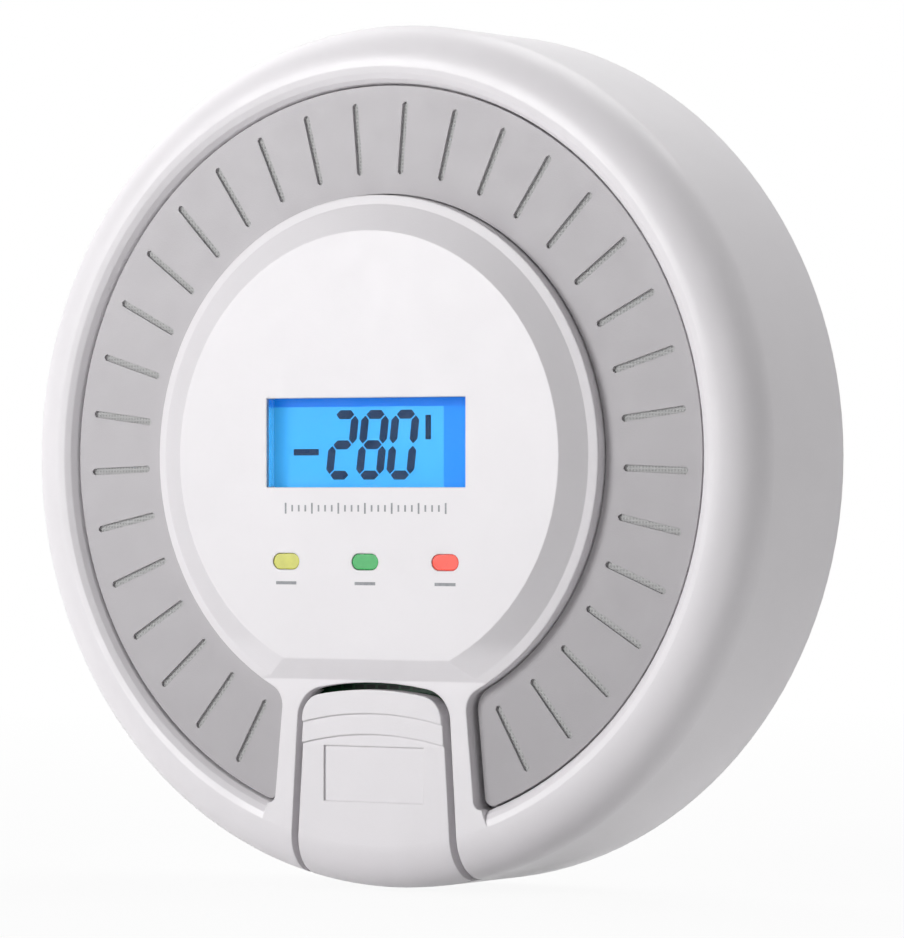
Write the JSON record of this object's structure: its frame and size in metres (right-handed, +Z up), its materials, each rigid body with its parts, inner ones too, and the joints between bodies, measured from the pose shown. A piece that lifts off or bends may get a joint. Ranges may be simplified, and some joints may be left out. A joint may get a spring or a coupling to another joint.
{
  "type": "carbon monoxide alarm",
  "caption": "Round wall-mounted gas alarm with a backlit display, indicator lights, a slotted sound grille, a rocking test button and a twist-lock wall plate.",
  "frame": {"origin": "centre of the mounting plate's back face, on the wall", "axes": "+Z up, +X to the right as seen from the room, -Y out of the wall towards the room"},
  "size_m": [0.12, 0.0331, 0.12],
  "materials": {
    "white_moulding": "fine satin moulding",
    "white_shell": "satin white moulding",
    "white_button": "satin white moulding",
    "grey_grille": "matt grey moulding",
    "dark_mesh": "woven mesh",
    "black_plastic": "matt",
    "switch_cap": "matt",
    "clear_lens": "clear, polished",
    "lcd_glass": "backlit liquid crystal",
    "light_guide": "translucent diffuser",
    "strip_rubber": "soft, striped",
    "frame_plastic": "matt",
    "pipe_yellow": "tinted, polished",
    "pipe_green": "tinted, polished",
    "pipe_red": "tinted, polished",
    "led_resin": "moulded resin",
    "board_green": "solder mask over glass laminate",
    "sensor_steel": "drawn can",
    "filter_felt": "pressed fibre",
    "gold_pins": "plated",
    "disc_brass": "rolled",
    "ceramic": "silvered ceramic",
    "coil_ferrite": "ferrite drum",
    "capacitor_sleeve": "shrunk sleeve",
    "cell_jacket": "printed jacket, bare ends",
    "contact_spring": "nickel plate",
    "screw_steel": "zinc plate"
  },
  "bodies": {
    "mounting_plate": {"mounting_plate": "white_moulding"},
    "alarm": {"battery_cell_lower": "cell_jacket", "battery_cell_upper": "cell_jacket", "battery_contacts": "contact_spring", "board_screws": "screw_steel", "boost_coil": "coil_ferrite", "front_housing": "white_shell", "gas_sensor_can": "sensor_steel", "gas_sensor_filter": "filter_felt", "gas_sensor_pins": "gold_pins", "grille_ring": "grey_grille", "housing_screws": "screw_steel", "insect_mesh": "dark_mesh", "lcd_frame": "frame_plastic", "lcd_lens": "clear_lens", "lcd_light_guide": "light_guide", "lcd_panel": "lcd_glass", "lcd_strips": "strip_rubber", "light_pipe_green": "pipe_green", "light_pipe_red": "pipe_red", "light_pipe_yellow": "pipe_yellow", "main_board": "board_green", "microcontroller": "black_plastic", "piezo_brass_disc": "disc_brass", "piezo_ceramic": "ceramic", "rear_cover": "white_moulding", "sounder_chamber": "black_plastic", "status_leds": "led_resin", "storage_capacitor": "capacitor_sleeve", "switch_body": "black_plastic"},
    "test_button": {"test_button": "white_button"},
    "switch_plunger": {"switch_plunger": "switch_cap"},
    "battery_door": {"battery_door": "white_moulding"}
  },
  "joints": [
    {"name": "alarm_twist", "type": "hinge", "parent": "mounting_plate", "child": "alarm", "pos_m": [0, 0, 0], "axis": [0, -1, 0], "range_deg": [0, 20]},
    {"name": "test_button_press", "type": "hinge", "parent": "alarm", "child": "test_button", "pos_m": [0, -0.0254, -0.0525], "axis": [-1, 0, 0], "range_deg": [0, 2], "stiffness_Nm_per_rad": 0.9, "springref_deg": -0.29},
    {"name": "switch_plunger_slide", "type": "slide", "parent": "alarm", "child": "switch_plunger", "axis": [0, 1, 0], "range_m": [0, 0.00045]},
    {"name": "battery_door_hinge", "type": "hinge", "parent": "alarm", "child": "battery_door", "pos_m": [0, -0.0026, 0.0118], "axis": [1, 0, 0], "range_deg": [0, 90]}
  ],
  "couplings": [
    {"joint": "switch_plunger_slide", "follows": "test_button_press", "m_per_rad": 0.0125}
  ]
}
